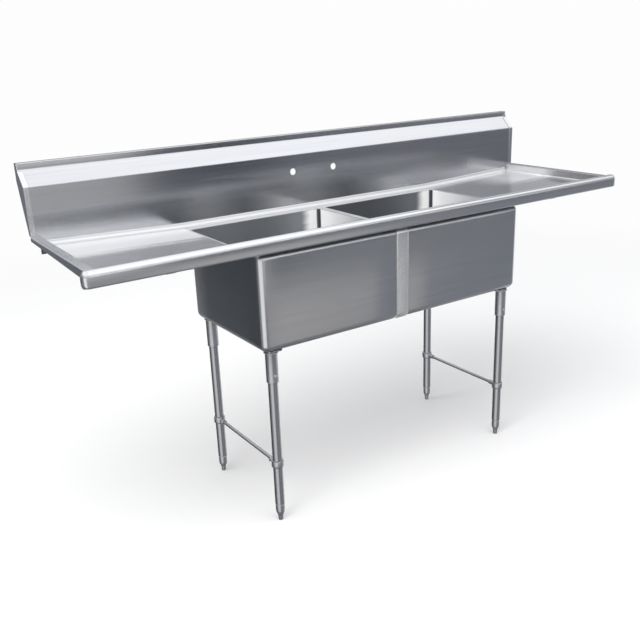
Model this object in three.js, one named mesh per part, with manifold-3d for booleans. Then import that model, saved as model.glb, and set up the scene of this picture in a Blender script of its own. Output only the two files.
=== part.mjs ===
// Stainless scullery sink: two bowls, a pitched drainboard at each end, a rolled front rim,
// a splash with a 45 degree top, and four socketed legs on adjustable bullet feet.
// Units are millimetres, +Z up, X along the length, front at -Y, floor at Z = 0.
import * as THREE from 'three';
import { mergeVertices } from 'three/addons/utils/BufferGeometryUtils.js';
import Module from 'manifold-3d';

// ---------- driving sizes ----------
const sheet = 2;                 // stainless sheet thickness
const gap = 0.3;                 // running gap between neighbouring pieces
const rimHeight = 930;           // floor to the crest of the rolled rim
const halfSplash = 1004;         // half the splash length
const halfLength = 1006;         // half the length over the side rims
const crestY = -274;             // crest line of the rolled rim
const rollRadius = 17;
const rollDrop = 45;             // crest to the bottom of the roll
const splashY = 226;             // front face of the splash
const splashRise = 142;          // crest to the bend of the splash
const splashSlope = 45;          // run and rise of the 45 degree top
const tileEdge = 20;             // upright edge above the slope
const returnDepth = 20;          // splash return to the wall
const deckDrop = 50;             // crest down to the deck around the bowls
const pitchRise = 16;            // drainboard fall towards the bowls
const bowlWidth = 507;           // inside, left to right
const bowlBack = 183;            // inside face of the rear wall
const bowlFront = -267;          // inside face of the front wall
const bowlDrop = 349;            // crest to the underside of the bowl
const bowlSpacing = 18;          // clear space between the two bowls
const cornerRadius = 20;         // outside upright corners of a bowl
const bottomRadius = 24;         // outside lower edges of a bowl
const bowlShoulder = 16;         // rounded top edge of the front wall
const drainRadius = 46;          // hole in the bowl bottom
const legX = 481;
const legFrontY = -238;
const legBackY = 156;
const legRadius = 15;
const braceHeight = 202;
const faucetCentres = 172;
const faucetHoleRadius = 11.5;
const faucetHeight = 83;         // above the crest

const deckZ = rimHeight - deckDrop;
const bowlBottom = rimHeight - bowlDrop;
const deckFront = crestY + rollRadius + gap;
const deckBack = splashY - gap;
const bowlOuterWidth = bowlWidth + 2 * sheet;
const bowlCentre = (bowlSpacing + bowlOuterWidth) / 2;
const bowlLipFront = deckFront + 4.7;
const bowlMidY = (bowlFront + bowlBack) / 2;
const panStart = bowlSpacing / 2 + bowlOuterWidth + 4;
const panEnd = halfLength - 28;

// ---------- materials ----------
const looks = {
  polished: { color: 0xc9ccd0, roughness: 0.26, metalness: 1.0 },
  brushed: { color: 0xb4b8bd, roughness: 0.36, metalness: 1.0 },
  bowl: { color: 0xa7abb1, roughness: 0.4, metalness: 1.0 },
  tube: { color: 0x9da1a6, roughness: 0.45, metalness: 1.0 },
  cast: { color: 0x878b90, roughness: 0.55, metalness: 1.0 },
  chrome: { color: 0xd6d8da, roughness: 0.15, metalness: 1.0 },
  brass: { color: 0xb39a5a, roughness: 0.35, metalness: 1.0 },
  rubber: { color: 0x1d1d1f, roughness: 0.85, metalness: 0.0 },
};

const group = new THREE.Group();
group.name = 'scullery_sink';

function signedVolume(geometry) {
  const p = geometry.attributes.position;
  const index = geometry.index;
  const a = new THREE.Vector3();
  const b = new THREE.Vector3();
  const c = new THREE.Vector3();
  let sum = 0;
  for (let i = 0; i < index.count; i += 3) {
    a.fromBufferAttribute(p, index.getX(i));
    b.fromBufferAttribute(p, index.getX(i + 1));
    c.fromBufferAttribute(p, index.getX(i + 2));
    sum += a.dot(b.cross(c)) / 6;
  }
  return sum;
}

function flip(geometry) {
  const index = geometry.index;
  for (let i = 0; i < index.count; i += 3) {
    const first = index.getX(i);
    index.setX(i, index.getX(i + 1));
    index.setX(i + 1, first);
  }
  return geometry;
}

// Welds equal vertices, drops collapsed triangles and turns the faces outwards.
function clean(source) {
  const bare = source.clone();
  bare.deleteAttribute('normal');
  bare.deleteAttribute('uv');
  const merged = mergeVertices(bare, 1e-4);
  const kept = [];
  for (let i = 0; i < merged.index.count; i += 3) {
    const t = [merged.index.getX(i), merged.index.getX(i + 1), merged.index.getX(i + 2)];
    if (t[0] !== t[1] && t[1] !== t[2] && t[2] !== t[0]) {
      kept.push(...t);
    }
  }
  merged.setIndex(kept);
  if (signedVolume(merged) < 0) {
    flip(merged);
  }
  merged.computeVertexNormals();
  return merged;
}

function addPart(name, geometry, look) {
  const material = new THREE.MeshStandardMaterial(looks[look]);
  const mesh = new THREE.Mesh(clean(geometry), material);
  mesh.name = name;
  group.add(mesh);
}

// ---------- profile helpers ----------
// Replaces each inner corner of an open path with an arc. radii holds one value per inner corner.
function roundPath(points, radii, steps) {
  const out = [points[0]];
  for (let i = 1; i < points.length - 1; i += 1) {
    const corner = new THREE.Vector2(...points[i]);
    const before = new THREE.Vector2(...points[i - 1]).sub(corner).normalize();
    const after = new THREE.Vector2(...points[i + 1]).sub(corner).normalize();
    const half = Math.acos(THREE.MathUtils.clamp(before.dot(after), -1, 1)) / 2;
    const radius = radii[i - 1];
    const reach = radius / Math.tan(half);
    const centre = before.clone().add(after).normalize().multiplyScalar(radius / Math.sin(half)).add(corner);
    const start = before.clone().multiplyScalar(reach).add(corner).sub(centre);
    const end = after.clone().multiplyScalar(reach).add(corner).sub(centre);
    const turn = Math.atan2(start.x * end.y - start.y * end.x, start.dot(end));
    for (let k = 0; k <= steps; k += 1) {
      const spot = start.clone().rotateAround(new THREE.Vector2(), (turn * k) / steps).add(centre);
      out.push([spot.x, spot.y]);
    }
  }
  out.push(points[points.length - 1]);
  return out;
}

// Moves an open path sideways, to its right for a positive distance, with mitred corners.
function offsetPath(points, distance) {
  const out = [];
  for (let i = 0; i < points.length; i += 1) {
    const here = new THREE.Vector2(...points[i]);
    const prev = i > 0 ? new THREE.Vector2(...points[i - 1]) : null;
    const next = i < points.length - 1 ? new THREE.Vector2(...points[i + 1]) : null;
    const into = prev ? here.clone().sub(prev).normalize() : next.clone().sub(here).normalize();
    const outOf = next ? next.clone().sub(here).normalize() : into;
    const n1 = new THREE.Vector2(into.y, -into.x);
    const n2 = new THREE.Vector2(outOf.y, -outOf.x);
    const mid = n1.clone().add(n2).normalize();
    const length = distance / mid.dot(n1);
    out.push([here.x + mid.x * length, here.y + mid.y * length]);
  }
  return out;
}

// Closed outline of a bent sheet that lies to the right of the path.
function sheetOutline(path, thickness) {
  return [...path, ...offsetPath(path, thickness).reverse()];
}

// Joins equal-length rings of points. A closed loft returns to its first ring, an open one is capped.
function loft(sections, closed, capPlane) {
  const flat = (ring) => ring.map((p) => new THREE.Vector2(p[capPlane[0]], p[capPlane[1]]));
  const backwards = !closed && THREE.ShapeUtils.isClockWise(flat(sections[0]));
  const rings = backwards ? sections.map((ring) => [...ring].reverse()) : sections;
  const count = rings[0].length;
  const positions = [];
  const index = [];
  for (const ring of rings) {
    for (const point of ring) {
      positions.push(...point);
    }
  }
  const spans = closed ? rings.length : rings.length - 1;
  for (let r = 0; r < spans; r += 1) {
    const base = r * count;
    const other = ((r + 1) % rings.length) * count;
    for (let k = 0; k < count; k += 1) {
      const n = (k + 1) % count;
      index.push(base + k, base + n, other + n, base + k, other + n, other + k);
    }
  }
  if (!closed) {
    const last = (rings.length - 1) * count;
    for (const [ring, base, back] of [[rings[0], 0, true], [rings[rings.length - 1], last, false]]) {
      for (const face of THREE.ShapeUtils.triangulateShape(flat(ring), [])) {
        const order = back ? [face[0], face[2], face[1]] : face;
        index.push(...order.map((v) => v + base));
      }
    }
  }
  const geometry = new THREE.BufferGeometry();
  geometry.setAttribute('position', new THREE.Float32BufferAttribute(positions, 3));
  geometry.setIndex(index);
  return geometry;
}

// Straight bar along X of a (Y, Z) outline.
function barX(outline, x0, x1) {
  const ring = (x) => outline.map(([y, z]) => [x, y, z]);
  return loft([ring(x0), ring(x1)], false, [1, 2]);
}

// Straight bar along Y between two (X, Z) outlines.
function barY(front, y0, y1, back = front) {
  const ring = (section, y) => section.map(([x, z]) => [x, y, z]);
  return loft([ring(front, y0), ring(back, y1)], false, [0, 2]);
}

function mirrorX(outline) {
  return outline.map(([x, z]) => [-x, z]);
}

// Solid of revolution about a vertical axis. The profile closes on itself or ends on the axis.
function turned(profile, x, y, segments) {
  const points = profile.map(([r, z]) => new THREE.Vector2(r, z));
  const geometry = new THREE.LatheGeometry(points, segments);
  geometry.rotateX(Math.PI / 2);
  geometry.translate(x, y, 0);
  return geometry;
}

function closeLoop(profile) {
  return [...profile, profile[0]];
}

// ---------- solid helpers ----------
const wasm = await Module();
wasm.setup();

function toSolid(geometry) {
  const mesh = clean(geometry);
  return new wasm.Manifold(new wasm.Mesh({
    numProp: 3,
    vertProperties: new Float32Array(mesh.attributes.position.array),
    triVerts: new Uint32Array(mesh.index.array),
  }));
}

function fromSolid(solid) {
  const mesh = solid.getMesh();
  const geometry = new THREE.BufferGeometry();
  geometry.setAttribute('position', new THREE.Float32BufferAttribute(mesh.vertProperties, 3));
  geometry.setIndex(Array.from(mesh.triVerts));
  return geometry;
}

// Cylinder between two points.
function rod(start, end, radius, segments) {
  const a = new THREE.Vector3(...start);
  const b = new THREE.Vector3(...end);
  const geometry = new THREE.CylinderGeometry(radius, radius, a.distanceTo(b), segments);
  const turn = new THREE.Quaternion().setFromUnitVectors(new THREE.Vector3(0, 1, 0), b.clone().sub(a).normalize());
  geometry.applyQuaternion(turn);
  const middle = a.add(b).multiplyScalar(0.5);
  geometry.translate(middle.x, middle.y, middle.z);
  return geometry;
}

// Box between two corners.
// ---------- rolled front rim ----------
function rollPath() {
  const centreZ = rimHeight - rollRadius;
  const path = [[crestY + rollRadius, deckZ - sheet]];
  const steps = 18;
  for (let k = 0; k <= steps; k += 1) {
    const angle = (Math.PI * k) / steps;
    path.push([crestY + rollRadius * Math.cos(angle), centreZ + rollRadius * Math.sin(angle)]);
  }
  const curl = 6;
  const curlZ = rimHeight - rollDrop + curl;
  for (let k = 0; k <= 5; k += 1) {
    const angle = Math.PI + (Math.PI / 2) * (k / 5);
    path.push([crestY - rollRadius + curl + curl * Math.cos(angle), curlZ + curl * Math.sin(angle)]);
  }
  path.push([crestY - 4, rimHeight - rollDrop]);
  return path;
}

const railEnd = 1006;
addPart('front_rail', barX([...rollPath(), ...offsetPath(rollPath(), -sheet).reverse()], -railEnd, railEnd), 'polished');

// Domed caps that close the two ends of the roll.
function railCap(side) {
  const edge = rollPath();
  const middle = [crestY, rimHeight - rollDrop / 2];
  const outline = [...edge.slice(0, -1), [crestY + rollRadius - 4, rimHeight - rollDrop]];
  const rings = [];
  const bulge = 15;
  const steps = 5;
  for (let k = 0; k <= steps; k += 1) {
    const angle = (Math.PI / 2) * (k / steps) * 0.94;
    const scale = Math.cos(angle);
    const x = side * (railEnd + gap + (k === 0 ? 0 : 2) + (bulge - 2) * Math.sin(angle));
    rings.push(outline.map(([y, z]) => [x, middle[0] + (y - middle[0]) * scale, middle[1] + (z - middle[1]) * scale]));
  }
  return loft(rings, false, [1, 2]);
}

addPart('rail_cap_left', railCap(-1), 'polished');
addPart('rail_cap_right', railCap(1), 'polished');

// ---------- splash ----------
const splashPath = roundPath([
  [splashY, deckZ - 10],
  [splashY, rimHeight + splashRise],
  [splashY + splashSlope, rimHeight + splashRise + splashSlope],
  [splashY + splashSlope, rimHeight + splashRise + splashSlope + tileEdge],
  [splashY + splashSlope + returnDepth, rimHeight + splashRise + splashSlope + tileEdge],
  [splashY + splashSlope + returnDepth, rimHeight + splashRise + splashSlope - 17],
], [6, 4, 2.4, 2.4], 4);

let splash = toSolid(barX(sheetOutline(splashPath, sheet), -(halfSplash - sheet), halfSplash - sheet));
for (const side of [-1, 1]) {
  const x = (side * faucetCentres) / 2;
  const z = rimHeight + faucetHeight;
  splash = splash.subtract(toSolid(rod([x, splashY - 10, z], [x, splashY + 10, z], faucetHoleRadius, 32)));
  // Clear of the side rim, the splash stops above the rim's skirt.
  const corner = plate([
    [side * (panEnd + 2), splashY - 10], [side * (halfSplash + 10), splashY - 10],
    [side * (halfSplash + 10), splashY + 10], [side * (panEnd + 2), splashY + 10],
  ], [], deckZ - 30, rimHeight - 12);
  splash = splash.subtract(toSolid(corner));
}
addPart('backsplash', fromSolid(splash), 'brushed');

// End plates close the splash and wrap a narrow lip round its front face.
const wallY = splashY + splashSlope + returnDepth;
const splashTop = rimHeight + splashRise + splashSlope + tileEdge;
function splashEnd(side) {
  const foot = rimHeight - 4 + gap;
  const face = roundPath([
    [splashY, foot],
    [splashY, rimHeight + splashRise],
    [splashY + splashSlope - 5, rimHeight + splashRise + splashSlope - 5],
  ], [6], 4);
  const outer = offsetPath(face, -(gap + 1.5));
  const inner = offsetPath(face, -gap);
  const plate = [...outer, [splashY + splashSlope - 2, splashTop], [wallY, splashTop], [wallY, splashTop - 55], [splashY + 12, foot]];
  const x0 = side * (halfSplash - sheet + gap);
  const solid = toSolid(barX(plate, x0, side * (halfSplash + gap)));
  const lip = toSolid(barX([...outer, ...[...inner].reverse()], side * (halfSplash - 15), side * halfSplash));
  return fromSolid(solid.add(lip));
}

addPart('splash_end_left', splashEnd(-1), 'polished');
addPart('splash_end_right', splashEnd(1), 'polished');

// ---------- deck and drainboards ----------
function roundedRect(x0, x1, y0, y1, radius, steps, sideSteps) {
  const corners = [
    [x1 - radius, y0 + radius, -Math.PI / 2],
    [x1 - radius, y1 - radius, 0],
    [x0 + radius, y1 - radius, Math.PI / 2],
    [x0 + radius, y0 + radius, Math.PI],
  ];
  const points = [];
  for (let c = 0; c < 4; c += 1) {
    const [cx, cy, from] = corners[c];
    for (let k = 0; k <= steps; k += 1) {
      const angle = from + (Math.PI / 2) * (k / steps);
      points.push([cx + radius * Math.cos(angle), cy + radius * Math.sin(angle)]);
    }
    const [nx, ny, next] = corners[(c + 1) % 4];
    const a = points[points.length - 1];
    const b = [nx + radius * Math.cos(next), ny + radius * Math.sin(next)];
    for (let k = 1; k < sideSteps; k += 1) {
      const t = k / sideSteps;
      points.push([a[0] + (b[0] - a[0]) * t, a[1] + (b[1] - a[1]) * t]);
    }
  }
  return points;
}

function plate(outline, holes, z0, z1) {
  const shape = new THREE.Shape(outline.map((p) => new THREE.Vector2(...p)));
  for (const hole of holes) {
    shape.holes.push(new THREE.Path(hole.map((p) => new THREE.Vector2(...p))));
  }
  const geometry = new THREE.ExtrudeGeometry(shape, { depth: z1 - z0, bevelEnabled: false });
  geometry.translate(0, 0, z0);
  return geometry;
}

const deckHalf = panStart - gap;
const deckOutline = [[-deckHalf, deckFront], [deckHalf, deckFront], [deckHalf, deckBack], [-deckHalf, deckBack]];
const openings = [-1, 1].map((side) => roundedRect(
  side * bowlCentre - bowlWidth / 2,
  side * bowlCentre + bowlWidth / 2,
  bowlLipFront,
  bowlBack,
  cornerRadius - sheet,
  8,
  1,
));
addPart('bowl_deck', plate(deckOutline, openings, deckZ - sheet, deckZ), 'brushed');

// A drainboard falls towards the bowls and turns up into the side rim at its outer end.
const panPath = roundPath([
  [panStart, deckZ],
  [panEnd, deckZ + pitchRise],
  [panEnd, rimHeight - 4 - sheet - gap],
], [9], 6);
const panSection = sheetOutline(panPath, sheet);
addPart('drainboard_left', barY(mirrorX(panSection), deckFront, deckBack), 'brushed');
addPart('drainboard_right', barY(panSection, deckFront, deckBack), 'brushed');

// The side rim is a flat band with a rounded edge and a skirt that deepens to the front.
function sideRimSection(skirt) {
  const top = rimHeight - 4;
  const path = roundPath([[panEnd, top], [halfLength, top], [halfLength, top - skirt]], [5], 5);
  return sheetOutline(path, sheet);
}

for (const [name, flipSide] of [['side_rim_left', mirrorX], ['side_rim_right', (s) => s]]) {
  addPart(name, barY(flipSide(sideRimSection(26)), deckFront, splashY - 2.2, flipSide(sideRimSection(12))), 'polished');
}

// Hat channels stiffen the drainboards from below.
function hatSection(x, top) {
  const flange = 14;
  const web = 16;
  const depth = 20;
  const path = [
    [x - web - flange, top], [x - web, top], [x - web + 3, top - depth],
    [x + web - 3, top - depth], [x + web, top], [x + web + flange, top],
  ];
  return sheetOutline(path, 1.5);
}

const hatX = 760;
const hatLow = deckZ + pitchRise * ((hatX - 30 - panStart) / (panEnd - panStart)) - sheet - 2 * gap;
addPart('channel_left', barY(mirrorX(hatSection(hatX, hatLow)), deckFront + 42, deckBack - 20), 'tube');
addPart('channel_right', barY(hatSection(hatX, hatLow), deckFront + 42, deckBack - 20), 'tube');

// ---------- bowls ----------
const bowlRingSteps = 6;
const bowlSideSteps = 5;
function bowlRing(centreX, inset, front, z, thin) {
  const half = bowlOuterWidth / 2 - thin - inset;
  const radius = Math.max(cornerRadius - thin - inset * 0.35, 6);
  const ring = roundedRect(
    centreX - half,
    centreX + half,
    front + inset,
    bowlBack + sheet - thin - inset,
    radius,
    bowlRingSteps,
    bowlSideSteps,
  );
  return ring.map(([x, y]) => [x, y, z]);
}

function circleRing(like, centreX, radius, z) {
  return like.map((point, k) => {
    const angle = -Math.PI / 4 + (2 * Math.PI * (k - bowlRingSteps / 2)) / like.length;
    return [centreX + radius * Math.cos(angle), bowlMidY + radius * Math.sin(angle), z];
  });
}

function bowlSkin(centreX, thin) {
  const front = bowlFront - sheet + thin;
  const top = deckZ - sheet - gap - thin;
  const bottom = bowlBottom + thin;
  const shoulder = bowlShoulder - thin;
  const radius = bottomRadius - thin;
  const rings = [];
  for (let k = 0; k <= 5; k += 1) {
    const angle = (Math.PI / 2) * (k / 5);
    rings.push(bowlRing(centreX, 0, front + shoulder * (1 - Math.sin(angle)), top - shoulder * (1 - Math.cos(angle)), thin));
  }
  for (let k = 0; k <= 6; k += 1) {
    const angle = (Math.PI / 2) * (k / 6);
    rings.push(bowlRing(centreX, radius * (1 - Math.cos(angle)), front, bottom + radius * (1 - Math.sin(angle)), thin));
  }
  const last = rings[rings.length - 1];
  rings.push(circleRing(last, centreX, 95, bottom));
  rings.push(circleRing(last, centreX, drainRadius, bottom - 3));
  return rings;
}

function bowl(centreX) {
  const outer = bowlSkin(centreX, 0);
  const inner = bowlSkin(centreX, sheet);
  const lip = deckZ - sheet - gap;
  const flange = [
    bowlRing(centreX, 0, bowlLipFront, lip - sheet, sheet),
    bowlRing(centreX, 0, bowlLipFront, lip, sheet),
  ];
  return loft([...outer, ...inner.reverse(), ...flange], true);
}

addPart('bowl_left', bowl(-bowlCentre), 'bowl');
addPart('bowl_right', bowl(bowlCentre), 'bowl');

// T-section fillers close the joint between the bowls, at the front and at the back.
function seamFiller(face, out) {
  const strip = 23;
  const web = bowlSpacing / 2 - gap;
  const skin = face + out * gap;
  const outline = [
    [-strip, skin + out * 1.6], [strip, skin + out * 1.6], [strip, skin],
    [web, skin], [web, skin - out * 16], [-web, skin - out * 16], [-web, skin], [-strip, skin],
  ];
  return plate(outline, [], bowlBottom + 11, deckZ - sheet - gap - 8);
}

addPart('seam_filler_front', seamFiller(bowlFront - sheet, -1), 'polished');
addPart('seam_filler_rear', seamFiller(bowlBack + sheet, 1), 'brushed');

// ---------- drains ----------
function nutOutline(centreX, radius, sides) {
  const points = [];
  for (let k = 0; k < sides; k += 1) {
    const angle = (2 * Math.PI * (k + 0.5)) / sides;
    points.push([centreX + radius * Math.cos(angle), bowlMidY + radius * Math.sin(angle)]);
  }
  return points;
}

function circlePath(centreX, radius, segments) {
  const points = [];
  for (let k = 0; k < segments; k += 1) {
    const angle = (-2 * Math.PI * k) / segments;
    points.push([centreX + radius * Math.cos(angle), bowlMidY + radius * Math.sin(angle)]);
  }
  return points;
}

const holeTop = bowlBottom - 1;          // inside surface of the bowl at the drain hole
const holeUnder = bowlBottom - 3;        // outside surface there
const cupFloor = holeTop - 30;
for (const [side, centreX] of [['left', -bowlCentre], ['right', bowlCentre]]) {
  const cup = [
    [58, holeTop + 2.9], [57, holeTop + 3.6], [44, holeTop + 2.2], [43, holeTop + 1], [43, cupFloor],
    [19.5, cupFloor], [19.5, cupFloor - 20], [22, cupFloor - 20], [22, cupFloor - 2], [45, cupFloor - 2],
    [45, holeTop + 0.9], [57, holeTop + 1.9],
  ];
  addPart(`drain_body_${side}`, turned(closeLoop(cup), centreX, bowlMidY, 36), 'chrome');
  const gasket = [[45.3, holeUnder - gap], [45.3, holeUnder - 4], [56, holeUnder - 4], [56, holeUnder - gap]];
  addPart(`drain_gasket_${side}`, turned(closeLoop(gasket), centreX, bowlMidY, 36), 'rubber');
  const nutTop = holeUnder - 4 - gap;
  addPart(
    `drain_locknut_${side}`,
    plate(nutOutline(centreX, 60, 10), [circlePath(centreX, 45.3, 36)], nutTop - 11, nutTop),
    'brass',
  );
  const pipeTop = cupFloor - 20 - gap;
  const pipe = [[16.5, pipeTop], [21.5, pipeTop], [21.5, pipeTop - 2], [19, pipeTop - 2], [19, pipeTop - 24], [16.5, pipeTop - 24]];
  addPart(`tailpiece_${side}`, turned(closeLoop(pipe), centreX, bowlMidY, 28), 'chrome');
  addPart(
    `slip_nut_${side}`,
    plate(nutOutline(centreX, 29, 6), [circlePath(centreX, 22.3, 28)], pipeTop - 2, pipeTop + 12),
    'brass',
  );
  const floor = cupFloor + gap;
  const basket = [
    [0, floor], [36, floor], [38, floor + 2], [40, floor + 26], [42, floor + 27], [42, floor + 28.5],
    [38.8, floor + 28], [36.4, floor + 3.4], [35, floor + 1.6], [4, floor + 1.6], [4, floor + 38],
    [9, floor + 41], [9.5, floor + 45], [6, floor + 48], [0, floor + 48.6],
  ];
  let sieve = toSolid(turned(basket, centreX, bowlMidY, 32));
  for (const [count, ring] of [[6, 13], [10, 26]]) {
    for (let k = 0; k < count; k += 1) {
      const angle = (2 * Math.PI * k) / count;
      const x = centreX + ring * Math.cos(angle);
      const y = bowlMidY + ring * Math.sin(angle);
      sieve = sieve.subtract(toSolid(rod([x, y, floor - 5], [x, y, floor + 6], 2.6, 8)));
    }
  }
  addPart(`strainer_basket_${side}`, fromSolid(sieve), 'chrome');
}

// ---------- legs, feet and braces ----------
const plateTop = bowlBottom - gap;
const plateThickness = 4;
const socketTop = plateTop - plateThickness - gap;
const socketLength = 98;
const tubeBottom = 58;
const legs = [
  ['front_left', -legX, legFrontY],
  ['front_right', legX, legFrontY],
  ['rear_left', -legX, legBackY],
  ['rear_right', legX, legBackY],
];
for (const [name, x, y] of legs) {
  const [nearX, farX] = [x - Math.sign(x) * 34, x + Math.sign(x) * 17];
  const [nearY, farY] = [y - Math.sign(y) * 34, y + Math.sign(y) * 17];
  const outline = roundedRect(
    Math.min(nearX, farX),
    Math.max(nearX, farX),
    Math.min(nearY, farY),
    Math.max(nearY, farY),
    10,
    4,
    1,
  );
  addPart(`leg_plate_${name}`, plate(outline, [], plateTop - plateThickness, plateTop), 'tube');
  const bore = legRadius + gap;
  const socket = [
    [0, socketTop], [19.8, socketTop], [19.8, socketTop - 3], [18.6, socketTop - 6],
    [18.6, socketTop - socketLength + 1], [17.8, socketTop - socketLength], [bore, socketTop - socketLength],
    [bore, socketTop - 4], [0, socketTop - 4],
  ];
  addPart(`leg_socket_${name}`, turned(socket, x, y, 28), 'cast');
  const tubeTop = socketTop - 4 - gap;
  const wall = legRadius - 1.6;
  const stemBore = 8 + gap;
  const tube = [
    [wall, tubeTop], [legRadius, tubeTop], [legRadius, tubeBottom + 1], [legRadius - 1, tubeBottom],
    [stemBore, tubeBottom], [stemBore, tubeBottom + 38], [wall, tubeBottom + 38],
  ];
  addPart(`leg_${name}`, turned(closeLoop(tube), x, y, 28), 'tube');
  const foot = [
    [0, 0], [7, 0], [7.6, 1], [7.8, 13], [9, 18], [13.4, 29], [14.2, 35], [14.2, tubeBottom - gap - 1.5],
    [13.2, tubeBottom - gap], [8, tubeBottom - gap], [8, tubeBottom + 34], [7, tubeBottom + 36], [0, tubeBottom + 36],
  ];
  addPart(`foot_${name}`, turned(foot, x, y, 28), 'cast');
}

// Each brace joins the front and rear leg at one end through clamps on the legs.
for (const [side, x] of [['left', -legX], ['right', legX]]) {
  for (const [where, y, towards] of [['front', legFrontY, 1], ['rear', legBackY, -1]]) {
    const low = braceHeight - 11;
    const high = braceHeight + 11;
    const inner = legRadius + gap;
    const ring = [[inner, low], [18, low], [19, low + 2], [19, high - 2], [18, high], [inner, high]];
    const boss = rod([x, y + towards * 17.4, braceHeight], [x, y + towards * 38, braceHeight], 8, 20);
    const bore = rod([x, y + towards * 26, braceHeight], [x, y + towards * 50, braceHeight], 5.5 + gap, 20);
    const solid = toSolid(turned(closeLoop(ring), x, y, 28)).add(toSolid(boss)).subtract(toSolid(bore));
    addPart(`brace_clamp_${where}_${side}`, fromSolid(solid), 'cast');
  }
  addPart(
    `brace_${side}`,
    rod([x, legFrontY + 26 + gap, braceHeight], [x, legBackY - 26 - gap, braceHeight], 5.5, 20),
    'tube',
  );
}

export default group;
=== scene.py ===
"""Looks of the stainless two-bowl sink with drainboards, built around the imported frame."""

import math

import bmesh
import bpy
from mathutils import Matrix, Vector


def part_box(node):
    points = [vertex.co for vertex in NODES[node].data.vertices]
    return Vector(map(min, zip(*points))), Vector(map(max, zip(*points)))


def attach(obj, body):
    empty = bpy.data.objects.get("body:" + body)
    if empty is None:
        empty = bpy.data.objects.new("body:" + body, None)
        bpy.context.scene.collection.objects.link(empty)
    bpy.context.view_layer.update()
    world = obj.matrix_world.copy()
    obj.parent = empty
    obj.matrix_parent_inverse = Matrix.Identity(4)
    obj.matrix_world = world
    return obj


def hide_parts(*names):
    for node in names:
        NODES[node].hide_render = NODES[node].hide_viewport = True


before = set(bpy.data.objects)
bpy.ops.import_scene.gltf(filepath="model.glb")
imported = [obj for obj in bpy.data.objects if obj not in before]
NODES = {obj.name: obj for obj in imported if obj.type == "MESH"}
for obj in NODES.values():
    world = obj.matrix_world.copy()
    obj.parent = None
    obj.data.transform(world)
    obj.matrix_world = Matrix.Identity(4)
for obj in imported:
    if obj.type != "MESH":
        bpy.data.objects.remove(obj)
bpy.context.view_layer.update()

ROOT = "sink"


# ---------------------------------------------------------------- node helpers

def add_node(tree, kind, settings=None, **inputs):
    made = tree.nodes.new(kind)
    for key, value in (settings or {}).items():
        setattr(made, key, value)
    for key, value in inputs.items():
        socket = made.inputs[int(key[1:])] if key[0] == "i" and key[1:].isdigit() else made.inputs[key]
        if isinstance(value, bpy.types.NodeSocket):
            tree.links.new(value, socket)
        else:
            socket.default_value = value
    return made


def math_node(tree, operation, a, b=0.0, c=0.0):
    return add_node(tree, "ShaderNodeMath", {"operation": operation}, i0=a, i1=b, i2=c).outputs[0]


def vector_node(tree, operation, a, b=(0, 0, 0), out="Vector"):
    made = add_node(tree, "ShaderNodeVectorMath", {"operation": operation}, i0=a, i1=b)
    return made.outputs[out]


def remap(tree, value, low, high, to_low=0.0, to_high=1.0, kind="SMOOTHSTEP"):
    made = add_node(tree, "ShaderNodeMapRange", {"interpolation_type": kind},
                    i0=value, i1=low, i2=high, i3=to_low, i4=to_high)
    return made.outputs[0]


def noise(tree, place, scale, detail, roughness, distortion=0.0):
    made = add_node(tree, "ShaderNodeTexNoise", Vector=place, Scale=scale, Detail=detail, Roughness=roughness,
                    Distortion=distortion)
    return made.outputs["Fac"]


def axes_of(tree, vector):
    parts = add_node(tree, "ShaderNodeSeparateXYZ", Vector=vector)
    return parts.outputs["X"], parts.outputs["Y"], parts.outputs["Z"]


def mix_color(tree, factor, a, b):
    made = tree.nodes.new("ShaderNodeMix")
    made.data_type = "RGBA"
    for index, value in ((0, factor), (6, a), (7, b)):
        if isinstance(value, bpy.types.NodeSocket):
            tree.links.new(value, made.inputs[index])
        else:
            made.inputs[index].default_value = value if index == 0 else (*value, 1.0)
    return made.outputs[2]


def new_material(name):
    made = bpy.data.materials.new(name)
    made.use_nodes = True
    made.node_tree.nodes.clear()
    return made, made.node_tree


def finish_material(tree, shader):
    out = tree.nodes.new("ShaderNodeOutputMaterial")
    tree.links.new(shader.outputs[0], out.inputs[0])


def shaded(color, factor):
    return tuple(min(1.0, factor * part) for part in color)


# ---------------------------------------------------------------- materials

EDGE_WEAR = 0.6
EDGE_RADIUS = 0.0012


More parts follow.
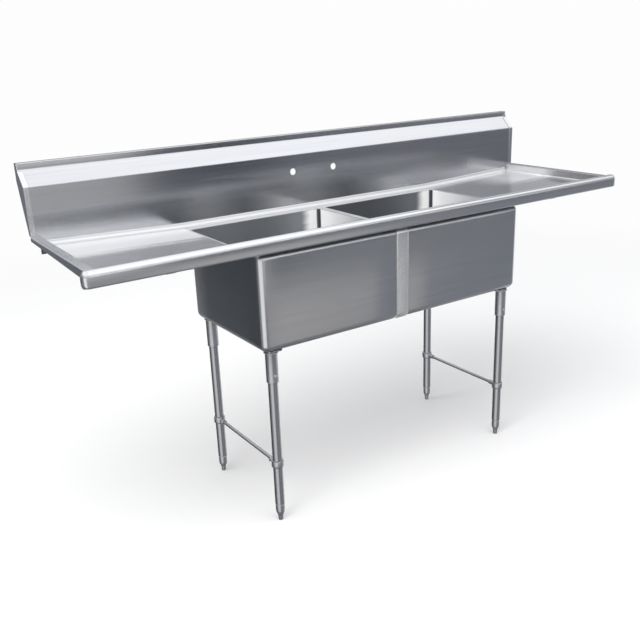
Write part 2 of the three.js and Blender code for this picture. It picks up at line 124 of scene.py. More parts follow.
def steel(name, color, rough, aniso=0.0, streak=0.025, grain=0.10, smudge=0.035, along=None, metal=0.96,
          zone=None):
    """Worked stainless steel.

    along is the grain's axis, or None for a grain that runs level round every wall. streak and smudge are how
    much the long scratches and the handling marks change the roughness, and grain is the scratches' depth.
    zone builds a mask in the tree and gives it back with the share of bare metal and the tone under it.
    """
    material, tree = new_material(name)
    coords = tree.nodes.new("ShaderNodeTexCoord").outputs["Object"]
    normal = tree.nodes.new("ShaderNodeNewGeometry").outputs["Normal"]
    if along is None:
        level = vector_node(tree, "CROSS_PRODUCT", normal, (0, 0, 1))
        along = vector_node(tree, "ADD", level, (0.02, 0, 0))
    grain_axis = vector_node(tree, "NORMALIZE", along)
    cross_axis = vector_node(tree, "CROSS_PRODUCT", normal, grain_axis)
    u = vector_node(tree, "DOT_PRODUCT", coords, grain_axis, out="Value")
    v = vector_node(tree, "DOT_PRODUCT", coords, cross_axis, out="Value")

    def scratches(along_scale, cross_scale, detail, roughness):
        place = add_node(tree, "ShaderNodeCombineXYZ", X=math_node(tree, "MULTIPLY", u, along_scale),
                         Y=math_node(tree, "MULTIPLY", v, cross_scale), Z=0.37)
        return noise(tree, place.outputs[0], 1.0, detail, roughness)

    fine = scratches(along_scale=14.0, cross_scale=1600.0, detail=2.0, roughness=0.6)
    broad = scratches(along_scale=1.6, cross_scale=95.0, detail=4.0, roughness=0.62)
    cloud = noise(tree, coords, scale=5.5, detail=4.0, roughness=0.55)
    prints = noise(tree, coords, scale=38.0, detail=3.0, roughness=0.6, distortion=0.8)
    dull = math_node(tree, "MULTIPLY", remap(tree, prints, 0.56, 0.74), remap(tree, cloud, 0.45, 0.7))
    bevel = add_node(tree, "ShaderNodeBevel", {"samples": 4}, Radius=EDGE_RADIUS).outputs["Normal"]
    bend = vector_node(tree, "DOT_PRODUCT", bevel, normal, out="Value")
    handled = remap(tree, cloud, 0.3, 0.62, 0.35, 1.0)
    edge = math_node(tree, "MULTIPLY", remap(tree, bend, 0.995, 0.90), handled)

    roughness = rough
    for mark, strength in ((broad, streak), (cloud, smudge)):
        centred = math_node(tree, "SUBTRACT", mark, 0.5)
        roughness = math_node(tree, "MULTIPLY_ADD", centred, 2.0 * strength, roughness)
    roughness = math_node(tree, "MULTIPLY_ADD", dull, smudge, roughness)
    roughness = math_node(tree, "MULTIPLY_ADD", edge, -0.35 * rough * EDGE_WEAR, roughness)
    roughness = math_node(tree, "MAXIMUM", roughness, 0.06)

    warm = (color[0] * 1.03, color[1] * 0.99, color[2] * 0.95)
    streaks = remap(tree, broad, 0.3, 0.7, kind="LINEAR")
    tone = mix_color(tree, streaks, shaded(color, 0.95), shaded(color, 1.03))
    tone = mix_color(tree, remap(tree, cloud, 0.45, 0.75, 0.0, 0.55), tone, warm)
    tone = mix_color(tree, math_node(tree, "MULTIPLY", fine, 0.18), tone, shaded(color, 0.72))
    tone = mix_color(tree, math_node(tree, "MULTIPLY", edge, 0.65 * EDGE_WEAR), tone, shaded(color, 1.25))

    relief = math_node(tree, "ADD", math_node(tree, "MULTIPLY", fine, grain),
                       math_node(tree, "MULTIPLY", broad, 0.9 * grain))
    bump = add_node(tree, "ShaderNodeBump", Strength=0.16, Distance=0.0006, Height=relief, Normal=bevel)
    shader = add_node(tree, "ShaderNodeBsdfPrincipled", Roughness=roughness, Normal=bump.outputs[0])
    shader.inputs["Metallic"].default_value = metal
    shader.inputs["Anisotropic"].default_value = aniso
    if aniso:
        tree.links.new(cross_axis, shader.inputs["Tangent"])
    if zone:
        mask, zone_metal, zone_tone = zone(tree, coords, normal, broad)
        tone = mix_color(tree, mask, tone, zone_tone)
        change = math_node(tree, "SUBTRACT", zone_metal, metal)
        tree.links.new(math_node(tree, "MULTIPLY_ADD", mask, change, metal), shader.inputs["Metallic"])
    tree.links.new(tone, shader.inputs["Base Color"])
    finish_material(tree, shader)
    return material


def rubber(name, color):
    material, tree = new_material(name)
    coords = tree.nodes.new("ShaderNodeTexCoord").outputs["Object"]
    speck = noise(tree, coords, scale=420.0, detail=3.0, roughness=0.6)
    cloud = noise(tree, coords, scale=26.0, detail=3.0, roughness=0.55)
    bump = add_node(tree, "ShaderNodeBump", Strength=0.25, Distance=0.0004, Height=speck)
    shader = add_node(tree, "ShaderNodeBsdfPrincipled", Normal=bump.outputs[0],
                      Roughness=remap(tree, cloud, 0.3, 0.7, 0.6, 0.85, "LINEAR"))
    tree.links.new(mix_color(tree, cloud, color, shaded(color, 1.9)), shader.inputs["Base Color"])
    finish_material(tree, shader)
    return material


def bowl_inside(tree, coords, normal, broad):
    """The blasted inside of a bowl, with painted light on its right wall, a painted highlight on its back
    wall by the rear right corner, and painted shade on the rest of its back wall and in that corner's
    rounding.
    """
    bowl_low, bowl_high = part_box("bowl_right")
    middle = (bowl_low + bowl_high) / 2
    x, y, z = axes_of(tree, coords)
    nx, ny, nz = axes_of(tree, normal)

    # The normals of the inner walls point at the middle of their bowl.
    side = math_node(tree, "SIGN", x)
    from_middle = math_node(tree, "SUBTRACT", math_node(tree, "MULTIPLY", x, side), middle.x)
    outward = math_node(tree, "MULTIPLY", math_node(tree, "MULTIPLY", nx, side), from_middle)
    outward = math_node(tree, "MULTIPLY_ADD", ny, math_node(tree, "SUBTRACT", y, middle.y), outward)
    outward = math_node(tree, "MULTIPLY_ADD", nz, math_node(tree, "SUBTRACT", z, middle.z), outward)
    inside = remap(tree, outward, 0.02, -0.02)

    corner = remap(tree, x, -0.0005, 0.0005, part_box("bowl_left")[1].x, bowl_high.x, "LINEAR")
    to_corner = math_node(tree, "ABSOLUTE", math_node(tree, "SUBTRACT", x, corner))
    ragged = math_node(tree, "MULTIPLY_ADD", broad, 0.016, to_corner)
    back_wall = remap(tree, ny, -0.6, -0.9)
    # Painted highlight: the back wall is toned near white in a ragged strip beside the rear right corner.
    painted_corner_glint = math_node(tree, "MULTIPLY", remap(tree, ragged, 0.088, 0.046), back_wall)
    # Painted light: the right wall is toned near white, strongest at the rear and fading towards the front.
    to_rear = remap(tree, y, -0.20, 0.14, 0.10, 1.0)
    painted_lit_right_wall = math_node(tree, "MULTIPLY", remap(tree, nx, -0.75, -0.95), to_rear)
    # Painted shade: the rounding of the rear right corner is toned dark.
    painted_corner_shade = math_node(tree, "MULTIPLY", remap(tree, nx, -0.25, -0.45), remap(tree, ny, -0.25, -0.45))

    # Painted shade: the back wall is toned darker than the steel, and the right bowl's is darker still.
    painted_back_wall_shade = mix_color(tree, remap(tree, x, -0.01, 0.01), (0.285, 0.296, 0.312), (0.165, 0.173, 0.187))
    tone = mix_color(tree, back_wall, (0.60, 0.61, 0.625), painted_back_wall_shade)
    tone = mix_color(tree, painted_corner_glint, tone, (0.98, 0.98, 0.98))
    tone = mix_color(tree, painted_lit_right_wall, tone, (0.97, 0.97, 0.975))
    tone = mix_color(tree, painted_corner_shade, tone, (0.10, 0.105, 0.115))
    # Where light is painted, the surface also gets a lower metallic share.
    satin_under_painted_light = math_node(tree, "MAXIMUM", painted_corner_glint, painted_lit_right_wall)
    return inside, math_node(tree, "MULTIPLY_ADD", satin_under_painted_light, -0.58, 0.70), tone


def painted_board_glare(tree, coords, normal, broad):
    """A painted highlight, bright and less metallic, along the rear of the left drainboard and of the far end
    of the right one.
    """
    x, y = axes_of(tree, coords)[:2]
    reach = math_node(tree, "MULTIPLY_ADD", broad, 0.09, y)
    reach = math_node(tree, "MULTIPLY_ADD", math_node(tree, "ABSOLUTE", x), 0.10, reach)
    left_board = remap(tree, x, 0.0, -0.1)
    far_right = remap(tree, x, 0.66, 0.86, 0.0, 0.8)
    glare_ends = math_node(tree, "ADD", left_board, far_right)
    # Painted highlight: a near-white tone and a lower metallic share along the rear of the boards.
    return math_node(tree, "MULTIPLY", glare_ends, remap(tree, reach, 0.10, 0.19)), 0.50, (0.86, 0.865, 0.875)


def painted_splash_foot_shade(tree, coords, normal, broad):
    """Below the side rims the front face of the splash is darkened with painted shade."""
    below = remap(tree, axes_of(tree, coords)[2], 0.8995, 0.8965)
    facing_front = remap(tree, axes_of(tree, normal)[1], -0.4, -0.6)
    # Painted shade: a dark tone on the foot of the splash's front face.
    return math_node(tree, "MULTIPLY", below, facing_front), 0.60, (0.10, 0.10, 0.11)


ALONG_X = (1, 0, 0)
ALONG_Z = (0, 0, 1)
LOOKS = {
    "polished_steel": steel("polished_steel_look", (0.66, 0.67, 0.685), 0.20, aniso=0.35, streak=0.03,
                            grain=0.05, along=ALONG_X),
    "brushed_steel": steel("brushed_steel_look", (0.60, 0.61, 0.625), 0.20, aniso=0.6, grain=0.08),
    "bowl_steel": steel("bowl_steel_look", (0.60, 0.61, 0.625), 0.22, aniso=0.35, zone=bowl_inside),
    "tube_steel": steel("tube_steel_look", (0.43, 0.435, 0.445), 0.24, aniso=0.3, grain=0.08, along=ALONG_Z),
    "cast_steel": steel("cast_steel_look", (0.50, 0.51, 0.525), 0.34, streak=0.03, grain=0.03, smudge=0.08),
    "chromed_drain": steel("chromed_drain_look", (0.74, 0.75, 0.765), 0.13, streak=0.02, grain=0.02),
    "brass_nut": steel("brass_nut_look", (0.62, 0.46, 0.20), 0.33, streak=0.04, grain=0.05, smudge=0.08),
    "rubber_seal": rubber("rubber_seal_look", (0.022, 0.022, 0.024)),
}
SPLASH_STEEL = steel("splash_steel_look", (0.55, 0.56, 0.58), 0.155, aniso=0.5, streak=0.03, grain=0.05,
                     smudge=0.01, along=ALONG_X, metal=1.0, zone=painted_splash_foot_shade)
BOARD_STEEL = steel("board_steel_look", (0.50, 0.505, 0.52), 0.19, aniso=0.4, streak=0.04, along=ALONG_X,
                    zone=painted_board_glare)
DECK_STEEL = steel("deck_steel_look", (0.64, 0.65, 0.66), 0.20, aniso=0.3, along=ALONG_X, metal=0.55)
WELD_STEEL = steel("ground_weld_look", (0.78, 0.785, 0.79), 0.26, aniso=0.5, streak=0.05, grain=0.14,
                   along=ALONG_Z, metal=0.82)
OWN_LOOK = {"backsplash": SPLASH_STEEL, "drainboard_left": BOARD_STEEL, "drainboard_right": BOARD_STEEL,
            "bowl_deck": DECK_STEEL}


# ---------------------------------------------------------------- carried-over CAD nodes

MERGE_DISTANCE = 0.000004
REAL_EDGE_ANGLE = math.radians(31)


def smooth_group():
    """Merges the split corners of a CAD mesh and shades it smooth, except across its real edges."""
    tree = bpy.data.node_groups.new("weld_and_smooth", "GeometryNodeTree")
    tree.interface.new_socket("Geometry", in_out="INPUT", socket_type="NodeSocketGeometry")
    tree.interface.new_socket("Geometry", in_out="OUTPUT", socket_type="NodeSocketGeometry")
    start = tree.nodes.new("NodeGroupInput")
    end = tree.nodes.new("NodeGroupOutput")
    merge = tree.nodes.new("GeometryNodeMergeByDistance")
    merge.inputs["Distance"].default_value = MERGE_DISTANCE
    faces = tree.nodes.new("GeometryNodeSetShadeSmooth")
    faces.domain = "FACE"
    edges = tree.nodes.new("GeometryNodeSetShadeSmooth")
    edges.domain = "EDGE"
    edges.inputs["Shade Smooth"].default_value = False
    angle = tree.nodes.new("GeometryNodeInputMeshEdgeAngle")
    compare = tree.nodes.new("FunctionNodeCompare")
    compare.data_type = "FLOAT"
    compare.operation = "GREATER_THAN"
    compare.inputs[1].default_value = REAL_EDGE_ANGLE
    tree.links.new(angle.outputs["Unsigned Angle"], compare.inputs[0])
    tree.links.new(start.outputs[0], merge.inputs["Geometry"])
    tree.links.new(merge.outputs[0], faces.inputs["Geometry"])
    tree.links.new(faces.outputs[0], edges.inputs["Geometry"])
    tree.links.new(compare.outputs[0], edges.inputs["Selection"])
    tree.links.new(edges.outputs[0], end.inputs[0])
    return tree


SMOOTH = smooth_group()
for name, thing in NODES.items():
    slot = thing.data.materials[0].name.split(".")[0]
    thing.data.materials[0] = OWN_LOOK.get(name, LOOKS[slot])
    if "custom_normal" in thing.data.attributes:
        thing.data.attributes.remove(thing.data.attributes["custom_normal"])
    smoother = thing.modifiers.new("weld_and_smooth", "NODES")
    smoother.node_group = SMOOTH


# ---------------------------------------------------------------- added pieces

def mesh_object(name, shape, look, body=ROOT, smooth_angle=35):
    """A bmesh becomes a named piece that rides on a body."""
    mesh = bpy.data.meshes.new(name)
    bmesh.ops.recalc_face_normals(shape, faces=shape.faces)
    shape.to_mesh(mesh)
    shape.free()
    mesh.shade_smooth()
    mesh.set_sharp_from_angle(angle=math.radians(smooth_angle))
    mesh.materials.append(LOOKS[look])
    piece = bpy.data.objects.new(name, mesh)
    bpy.context.scene.collection.objects.link(piece)
    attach(piece, body)
    return piece


def skin(shape, rings, loop=False):
    """Faces between successive rings of points, with a cap at each end unless the rings form a loop."""
    rows = [[shape.verts.new(point) for point in ring] for ring in rings]
    count = len(rows[0])
    for low, high in zip(rows, rows[1:] + (rows[:1] if loop else [])):
        for k in range(count):
            nxt = (k + 1) % count
            shape.faces.new((low[k], low[nxt], high[nxt], high[k]))
    if not loop:
        shape.faces.new(rows[0])
        shape.faces.new(list(reversed(rows[-1])))


def board_height(x):
    """Height of the deck and of the pitched drainboards along the splash."""
    deck_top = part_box("bowl_deck")[1].z
    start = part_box("bowl_deck")[1].x
    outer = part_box("drainboard_right")[1].x
    rise = 0.016
    return deck_top + rise * min(max((abs(x) - start) / (outer - start), 0.0), 1.0)


def splash_cove():
    """The polished weld fillet where the deck and the drainboards meet the splash."""
    end_gap, lift, inset = 0.012, 0.00005, 0.0001
    radius, steps, stations = 0.017, 9, 80
    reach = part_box("drainboard_right")[1].x - end_gap
    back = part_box("backsplash")[0].y - inset
    rings = []
    for number in range(stations + 1):
        x = -reach + 2 * reach * number / stations
        base = board_height(x) + lift
        arc = []
        for k in range(steps + 1):
            turn = math.pi / 2 * k / steps
            arc.append((x, back - radius + radius * math.sin(turn), base + radius - radius * math.cos(turn)))
        rings.append(arc + [(x, back, base)])
    shape = bmesh.new()
    skin(shape, rings)
    mesh_object("splash_cove", shape, "polished_steel").data.materials[0] = DECK_STEEL


def seam_strip(node, face_y, outward):
    """The ground-flush cover strip over the joint between the bowls.

    It follows the rounded bottom edges of the bowls, and at the front their rounded top edges too.
    """
    strip_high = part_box(node)[1]
    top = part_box("bowl_left")[1].z
    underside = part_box("leg_plate_front_left")[1].z + 0.0003
    bottom_radius, bottom_turn = 0.024, 62
    top_radius, top_turn = 0.016, 68
    steps = 8
    # Each station of the path holds its inset from the face, its height and the direction that it faces.
    path = []
    for k in range(steps + 1):
        turn = math.radians(bottom_turn - bottom_turn * k / steps)
        path.append((bottom_radius * (1 - math.cos(turn)), underside + bottom_radius * (1 - math.sin(turn)),
                     math.cos(turn), -math.sin(turn)))
    if outward < 0:
        for k in range(steps + 1):
            turn = math.radians(top_turn * k / steps)
            path.append((top_radius * (1 - math.cos(turn)), top - top_radius * (1 - math.sin(turn)),
                         math.cos(turn), math.sin(turn)))
    else:
        path.append((0.0, min(strip_high.z, top - 0.002), 1.0, 0.0))

    # Across the strip the section is a flat crown with feathered edges.
    half, seat, depth = strip_high.x, 0.0002, 0.0006
    across = [(-half, 0.0002), (-half + 0.0015, 0.0009), (-half + 0.005, 0.00135), (0.0, 0.0015),
              (half - 0.005, 0.00135), (half - 0.0015, 0.0009), (half, 0.0002)]
    rings = []
    for inset, z, push_y, push_z in path:
        outer = [(x, face_y + outward * (seat - inset + crown * push_y), z + crown * push_z)
                 for x, crown in across]
        inner_y = face_y - outward * (inset + depth)
        rings.append(outer + [(half, inner_y, z), (-half, inner_y, z)])
    shape = bmesh.new()
    skin(shape, rings)
    piece = mesh_object(node + "_strip", shape, "polished_steel")
    piece.data.materials[0] = WELD_STEEL
    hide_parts(node)


def spun(shape, origin, axis, profile, segments=24):
    """A turned or hexagonal body along an axis.

    The profile lists each ring's offset along the axis, its radius and its number of flats, or 0 if round.
    """
    axis = Vector(axis)
    side = axis.orthogonal().normalized()
    other = axis.cross(side)
    rings = []
    for offset, radius, flats in profile:
        ring = []
        for k in range(segments):
            turn = 2 * math.pi * k / segments
            reach = radius
            if flats:
                part = math.pi / flats
                reach = radius * math.cos(part) / math.cos(turn % (2 * part) - part)
            spoke = side * math.cos(turn) + other * math.sin(turn)
            ring.append(Vector(origin) + axis * offset + spoke * reach)
        rings.append(ring)
    skin(shape, rings)


def bead(shape, points, radius, loop=False):
    """A rippled weld bead along a level path. An open bead tapers at both ends."""
    ripple, taper, sides = 0.16, 0.35, 8
    rings = []
    count = len(points)
    for number, point in enumerate(points):
        ahead = points[(number + 1) % count] if loop or number + 1 < count else point
        behind = points[number - 1] if loop or number else point
        along = (Vector(ahead) - Vector(behind)).normalized()
        side = along.cross(Vector((0, 0, 1)))
        up = side.cross(along)
        size = radius * (1 + ripple * abs(math.sin(number * math.pi / 3)))
        if not loop and number in (0, count - 1):
            size *= taper
        ring = []
        for k in range(sides):
            turn = 2 * math.pi * k / sides
            ring.append(Vector(point) + (side * math.cos(turn) + up * math.sin(turn)) * size)
        rings.append(ring)
    skin(shape, rings, loop=loop)


def leg_welds(corner):
    """The weld round the top of the leg socket and a stretch of weld along each edge of its plate."""
    socket_low, socket_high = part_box("leg_socket_" + corner)
    plate_low, plate_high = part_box("leg_plate_" + corner)
    middle = (socket_low + socket_high) / 2
    reach = (socket_high.x - socket_low.x) / 2 + 0.0008
    ring_z, edge_z = socket_high.z - 0.0014, plate_high.z - 0.0012
    socket_bead, plate_bead = 0.0017, 0.0018
    stations = 60
    ring = []
    for k in range(stations):
        turn = 2 * math.pi * k / stations
        ring.append((middle.x + reach * math.cos(turn), middle.y + reach * math.sin(turn), ring_z))
    shape = bmesh.new()
    bead(shape, ring, socket_bead, loop=True)

    spans = [((plate_low.x, y), (plate_high.x, y)) for y in (plate_low.y, plate_high.y)]
    spans += [((x, plate_low.y), (x, plate_high.y)) for x in (plate_low.x, plate_high.x)]
    first, share, steps = 0.26, 0.48, 24
    for start, end in spans:
        start, end = Vector((*start, edge_z)), Vector((*end, edge_z))
        bead(shape, [start.lerp(end, first + share * k / steps) for k in range(steps + 1)], plate_bead)
    mesh_object("leg_welds_" + corner, shape, "cast_steel")


def set_screw(corner):
    """The hollow hexagon set screw that locks the leg in its socket."""
    low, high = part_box("leg_socket_" + corner)
    middle = (low + high) / 2
    wall = (high.x - low.x) / 2 - 0.0012
    up_from_bottom = 0.024
    outward = (0, -1 if "front" in corner else 1, 0)
    screw = [(wall - 0.0006, 0.0042, 0), (wall + 0.0014, 0.0042, 0), (wall + 0.0019, 0.0037, 0),
             (wall + 0.0019, 0.0023, 6), (wall - 0.0002, 0.0022, 6), (wall - 0.0004, 0.0004, 0)]
    shape = bmesh.new()
    spun(shape, (middle.x, middle.y, low.z + up_from_bottom), outward, screw)
    mesh_object("set_screw_" + corner, shape, "chromed_drain", smooth_angle=25)


def clamp_bolt(where, side):
    """The hexagon screw and washer that pinch the brace in its clamp."""
    brace_low, brace_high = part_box("brace_" + side)
    leg_low, leg_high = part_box("leg_{}_{}".format(where, side))
    from_leg = 0.031 if where == "front" else -0.031
    leg_y = (leg_low.y + leg_high.y) / 2
    place = ((brace_low.x + brace_high.x) / 2, leg_y + from_leg, (brace_low.z + brace_high.z) / 2)
    outward = (-1 if side == "left" else 1, 0, 0)
    washer = [(0.0066, 0.0052, 0), (0.0082, 0.0052, 0), (0.0085, 0.0049, 0), (0.0085, 0.0020, 0)]
    head = [(0.0084, 0.0042, 6), (0.0108, 0.0042, 6), (0.0116, 0.0036, 0), (0.0118, 0.0004, 0)]
    shape = bmesh.new()
    spun(shape, place, outward, washer)
    spun(shape, place, outward, head)
    mesh_object("clamp_bolt_{}_{}".format(where, side), shape, "chromed_drain", smooth_angle=25)


SIEVE_SEGMENTS = 72
SIEVE_LIFT = 0.0009


def in_sieve_slot(row, k):
    """Whether a cell of the sieve is open. There are two rings of slots in the floor and one in the wall."""
    inner_slot = 2 <= row <= 4 and k % 9 in (2, 3, 4)
    outer_slot = 7 <= row <= 10 and k % 6 in (2, 3)
    wall_slot = 16 <= row <= 21 and k % 4 in (1, 2)
    return inner_slot or outer_slot or wall_slot


def strainer_sieve(side):
    """A lift-out basket of slotted sheet with a rolled rim."""
    node = "strainer_basket_" + side
    low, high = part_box(node)
    middle = (low + high) / 2
    floor, top = low.z + SIEVE_LIFT, low.z + 0.0284
    rim = (high.x - low.x) / 2
    # Radius and height of each row of points: the floor, its rounded corner, the wall and the rim.
    rows = [(0.0046 + 0.0295 * k / 12, floor) for k in range(13)]
    rows += [(0.0360, floor + 0.0008), (0.0371, floor + 0.0024)]
    rows += [(0.0373 + 0.0022 * k / 8, floor + 0.0040 + 0.0195 * k / 8) for k in range(9)]
    rows += [(0.0402, top - 0.0022), (rim - 0.0006, top - 0.0016), (rim - 0.0003, top - 0.0007)]
    shape = bmesh.new()
    grid = []
    turns = [2 * math.pi * k / SIEVE_SEGMENTS for k in range(SIEVE_SEGMENTS)]
    for radius, z in rows:
        ring = [(middle.x + radius * math.cos(turn), middle.y + radius * math.sin(turn), z) for turn in turns]
        grid.append([shape.verts.new(point) for point in ring])
    for row, (ring, after) in enumerate(zip(grid, grid[1:])):
        for k in range(SIEVE_SEGMENTS):
            if not in_sieve_slot(row, k):
                nxt = (k + 1) % SIEVE_SEGMENTS
                shape.faces.new((ring[k], ring[nxt], after[nxt], after[k]))
    sieve = mesh_object("strainer_sieve_" + side, shape, "chromed_drain", node + "_body")
    sheet = sieve.modifiers.new("sheet", "SOLIDIFY")
    sheet.thickness = 0.0007
    sheet.offset = 1.0
    soft = sieve.modifiers.new("softened", "SUBSURF")
    soft.levels = soft.render_levels = 1
    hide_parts(node)


def strainer_knob(side):
    """The centre post of a strainer basket with its turned knob."""
    node = "strainer_basket_" + side
    low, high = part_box(node)
    middle = (low + high) / 2
    floor, top = low.z + SIEVE_LIFT, high.z - 0.0003
    post = [(floor - 0.0002, 0.0052, 0), (floor + 0.0012, 0.0052, 0), (floor + 0.0018, 0.0034, 0),
            (floor + 0.0300, 0.0032, 0), (floor + 0.0325, 0.0062, 0)]
    knob = [(top - 0.0115, 0.0088, 0), (top - 0.0092, 0.0093, 0), (top - 0.0070, 0.0086, 0),
            (top - 0.0054, 0.0079, 0), (top - 0.0040, 0.0087, 0), (top - 0.0022, 0.0080, 0),
            (top - 0.0008, 0.0058, 0), (top, 0.0022, 0)]
    shape = bmesh.new()
    spun(shape, (middle.x, middle.y, 0), (0, 0, 1), post + knob, segments=36)
    mesh_object("strainer_knob_" + side, shape, "chromed_drain", node + "_body", smooth_angle=50)


def channel_welds(side):
    """Spot welds along both flanges of the channel under a drainboard."""
    low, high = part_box("channel_" + side)
    middle = (low + high) / 2
    flange, end_gap, last, sunk = 0.023, 0.03, 6, 0.0014
    dimple = [(0.0, 0.0046, 0), (0.0004, 0.0044, 0), (0.0008, 0.0034, 0), (0.0006, 0.0020, 0),
              (0.0005, 0.0005, 0)]
    shape = bmesh.new()
    for x in (middle.x - flange, middle.x + flange):
        for k in range(last + 1):
            y = low.y + end_gap + (high.y - low.y - 2 * end_gap) * k / last
            spun(shape, (x, y, high.z - sunk), (0, 0, -1), dimple, segments=16)
    mesh_object("channel_welds_" + side, shape, "cast_steel")


splash_cove()
seam_strip("seam_filler_front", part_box("bowl_left")[0].y, -1)
seam_strip("seam_filler_rear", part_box("bowl_left")[1].y, 1)
for corner in ("front_left", "front_right", "rear_left", "rear_right"):
    leg_welds(corner)
    set_screw(corner)
for side in ("left", "right"):
    strainer_sieve(side)
    strainer_knob(side)
    channel_welds(side)
    for where in ("front", "rear"):
        clamp_bolt(where, side)


# ---------------------------------------------------------------- camera, light and floor

# Patches of the room that the steel mirrors: azimuth from, to and softness, elevation from, to and softness,
# all in degrees, and colour. Azimuth is 0 towards the front of the sink and grows towards its right end.
ROOM = [
    (-90, 20.9, 1.0, -14, 1, 3.0, (0.56, 0.555, 0.565)),
    (-90, 21.8, 1.0, 1, 11.3, 1.0, (0.84, 0.835, 0.85)),
    (21.2, 30, 1.2, -18, 10, 3.0, (0.105, 0.115, 0.135)),
    (-90, 28, 4.0, 13.6, 20, 2.0, (0.62, 0.62, 0.64)),
    (2, 40, 4.0, 11.5, 13.4, 0.4, (3.4, 3.4, 3.45)),
    (22, 39.6, 1.5, -34, -13.5, 2.0, (0.50, 0.49, 0.49)),
    (39.6, 64, 1.5, -34, -13.5, 2.0, (0.22, 0.235, 0.27)),
    (41, 50, 2.0, 5.0, 10.5, 1.5, (1.5, 1.5, 1.55)),
    (-85, -22, 9.0, -45, 6, 6.0, (1.15, 1.15, 1.17)),
    (75, 118, 10.0, -45, 10, 8.0, (0.80, 0.81, 0.84)),
    (15, 95, 12.0, 38, 72, 9.0, (1.62, 1.62, 1.65)),
    (-163, -126, 9.0, -50, -4, 10.0, (0.035, 0.042, 0.05)),
    (46, 62, 5.0, 22, 37, 4.0, (0.42, 0.43, 0.45)),
    (92, 125, 6.0, 28, 50, 5.0, (0.42, 0.43, 0.45)),
]
# Elevation in degrees and colour of the mirrored room where no patch covers it.
ROOM_RAMP = [(-90, (0.12, 0.12, 0.13)), (-40, (0.24, 0.245, 0.26)), (-22, (0.30, 0.31, 0.33)),
             (-8, (0.20, 0.21, 0.235)), (2, (0.22, 0.23, 0.255)), (10, (0.34, 0.35, 0.38)),
             (20, (0.60, 0.61, 0.64)), (32, (1.15, 1.16, 1.20)), (55, (1.42, 1.43, 1.46)),
             (90, (1.45, 1.46, 1.5))]
BACKDROP = (0.985, 0.985, 0.985)


def place_camera():
    """The photograph's viewpoint: 33 degrees to the left of square on, 19 degrees above level."""
    yaw, pitch, roll = -0.58166, 0.33429, 0.03865
    place = Vector((-1.56486, -2.15850, 1.43298))
    right = Vector((math.cos(yaw), math.sin(yaw), 0))
    level = Vector((-math.sin(yaw), math.cos(yaw), 0))
    forward = level * math.cos(pitch) - Vector((0, 0, math.sin(pitch)))
    up = level * math.sin(pitch) + Vector((0, 0, math.cos(pitch)))
    image_right = right * math.cos(roll) - up * math.sin(roll)
    image_up = right * math.sin(roll) + up * math.cos(roll)
    data = bpy.data.cameras.new("camera")
    data.sensor_width = 36.0
    data.lens = 44.692875
    data.clip_start, data.clip_end = 0.05, 100.0
    camera = bpy.data.objects.new("camera", data)
    bpy.context.scene.collection.objects.link(camera)
    turn = Matrix((image_right, image_up, -forward)).transposed()
    camera.matrix_world = Matrix.Translation(place) @ turn.to_4x4()
    bpy.context.scene.camera = camera


def make_world():
    """A pale backdrop for the camera, a room for the steel to mirror, and a soft glow from the upper left.

    The room has a bright ceiling and grey walls with lit and dark patches.
    """
    world = bpy.data.worlds.new("studio")
    bpy.context.scene.world = world
    world.use_nodes = True
    tree = world.node_tree
    tree.nodes.clear()
    x, y, z = axes_of(tree, tree.nodes.new("ShaderNodeTexCoord").outputs["Generated"])
    to_degrees = 180.0 / math.pi
    elevation = math_node(tree, "MULTIPLY", math_node(tree, "ARCSINE", z), to_degrees)
    azimuth = math_node(tree, "ARCTAN2", x, math_node(tree, "MULTIPLY", y, -1.0))
    azimuth = math_node(tree, "MULTIPLY", azimuth, to_degrees)
    ramp = tree.nodes.new("ShaderNodeValToRGB")
    ramp.color_ramp.interpolation = "EASE"
    stops = ramp.color_ramp.elements
    for angle, color in ROOM_RAMP[1:-1]:
        stops.new((angle + 90) / 180).color = (*color, 1)
    stops[0].color = (*ROOM_RAMP[0][1], 1)
    stops[-1].color = (*ROOM_RAMP[-1][1], 1)
    tree.links.new(remap(tree, elevation, -90.0, 90.0, kind="LINEAR"), ramp.inputs[0])

    def window(value, low, high, soft):
        return math_node(tree, "MULTIPLY", remap(tree, value, low - soft, low + soft),
                         remap(tree, value, high + soft, high - soft))

    room = ramp.outputs[0]
    for az_low, az_high, az_soft, el_low, el_high, el_soft, color in ROOM:
        share = math_node(tree, "MULTIPLY", window(azimuth, az_low, az_high, az_soft),
                          window(elevation, el_low, el_high, el_soft))
        room = mix_color(tree, share, room, color)
    path = tree.nodes.new("ShaderNodeLightPath")
    seen = mix_color(tree, path.outputs["Is Camera Ray"], room, BACKDROP)
    upper_left = math_node(tree, "MULTIPLY", window(azimuth, -125, -50, 25), window(elevation, 18, 62, 14))
    glow = mix_color(tree, upper_left, (0.65, 0.655, 0.665), (2.4, 2.39, 2.36))
    lit = mix_color(tree, path.outputs["Is Diffuse Ray"], seen, glow)
    background = add_node(tree, "ShaderNodeBackground", Color=lit, Strength=1.0)
    out = tree.nodes.new("ShaderNodeOutputWorld")
    tree.links.new(background.outputs[0], out.inputs[0])


def softbox(name, place, target, size, power, color=(1, 1, 1)):
    """A soft lamp that the steel doesn't mirror."""
    data = bpy.data.lights.new(name, "AREA")
    data.shape = "RECTANGLE"
    data.size, data.size_y = size
    data.energy = power
    data.color = color
    lamp = bpy.data.objects.new(name, data)
    bpy.context.scene.collection.objects.link(lamp)
    lamp.location = place
    lamp.rotation_mode = "QUATERNION"
    lamp.rotation_quaternion = (Vector(target) - Vector(place)).to_track_quat("-Z", "Y")
    lamp.visible_glossy = False


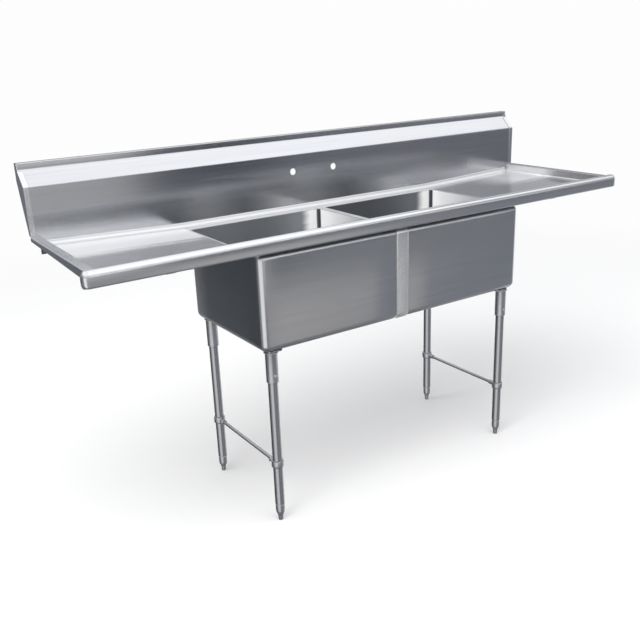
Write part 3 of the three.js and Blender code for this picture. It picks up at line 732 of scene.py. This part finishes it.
def make_floor():
    """A wide pale floor that fades into the backdrop and is clear from below. The steel doesn't mirror it."""
    just_below_feet, radius = -0.0005, 30.0
    fade_start, fade_end = 2.2, 4.6
    material, tree = new_material("floor_look")
    coords = tree.nodes.new("ShaderNodeTexCoord").outputs["Object"]
    cloud = noise(tree, coords, scale=1.4, detail=4.0, roughness=0.5)
    shader = add_node(tree, "ShaderNodeBsdfPrincipled", Roughness=0.9)
    tone = mix_color(tree, cloud, (0.92, 0.92, 0.923), (0.94, 0.94, 0.94))
    tree.links.new(tone, shader.inputs["Base Color"])
    shader.inputs["Specular IOR Level"].default_value = 0.1
    glow = add_node(tree, "ShaderNodeEmission", Color=(*BACKDROP, 1.0), Strength=1.0)
    far = remap(tree, vector_node(tree, "LENGTH", coords, out="Value"), fade_start, fade_end)
    blend = add_node(tree, "ShaderNodeMixShader", i0=far)
    tree.links.new(shader.outputs[0], blend.inputs[1])
    tree.links.new(glow.outputs[0], blend.inputs[2])
    below = tree.nodes.new("ShaderNodeNewGeometry").outputs["Backfacing"]
    one_way = add_node(tree, "ShaderNodeMixShader", i0=below)
    tree.links.new(blend.outputs[0], one_way.inputs[1])
    tree.links.new(tree.nodes.new("ShaderNodeBsdfTransparent").outputs[0], one_way.inputs[2])
    finish_material(tree, one_way)
    mesh = bpy.data.meshes.new("floor")
    shape = bmesh.new()
    bmesh.ops.create_circle(shape, cap_ends=True, segments=96, radius=radius)
    shape.to_mesh(mesh)
    shape.free()
    mesh.materials.append(material)
    floor = bpy.data.objects.new("floor", mesh)
    floor.location = (0, 0, just_below_feet)
    bpy.context.scene.collection.objects.link(floor)
    floor.visible_glossy = False


bpy.context.scene.view_settings.view_transform = "Standard"
place_camera()
make_world()
make_floor()
softbox("softbox_top", (-0.6, -0.9, 3.4), (0, 0, 0.6), (3.2, 2.4), 55)
softbox("softbox_left", (-2.9, -1.4, 1.9), (-0.2, 0, 0.7), (1.2, 1.6), 14, color=(1.0, 0.99, 0.97))
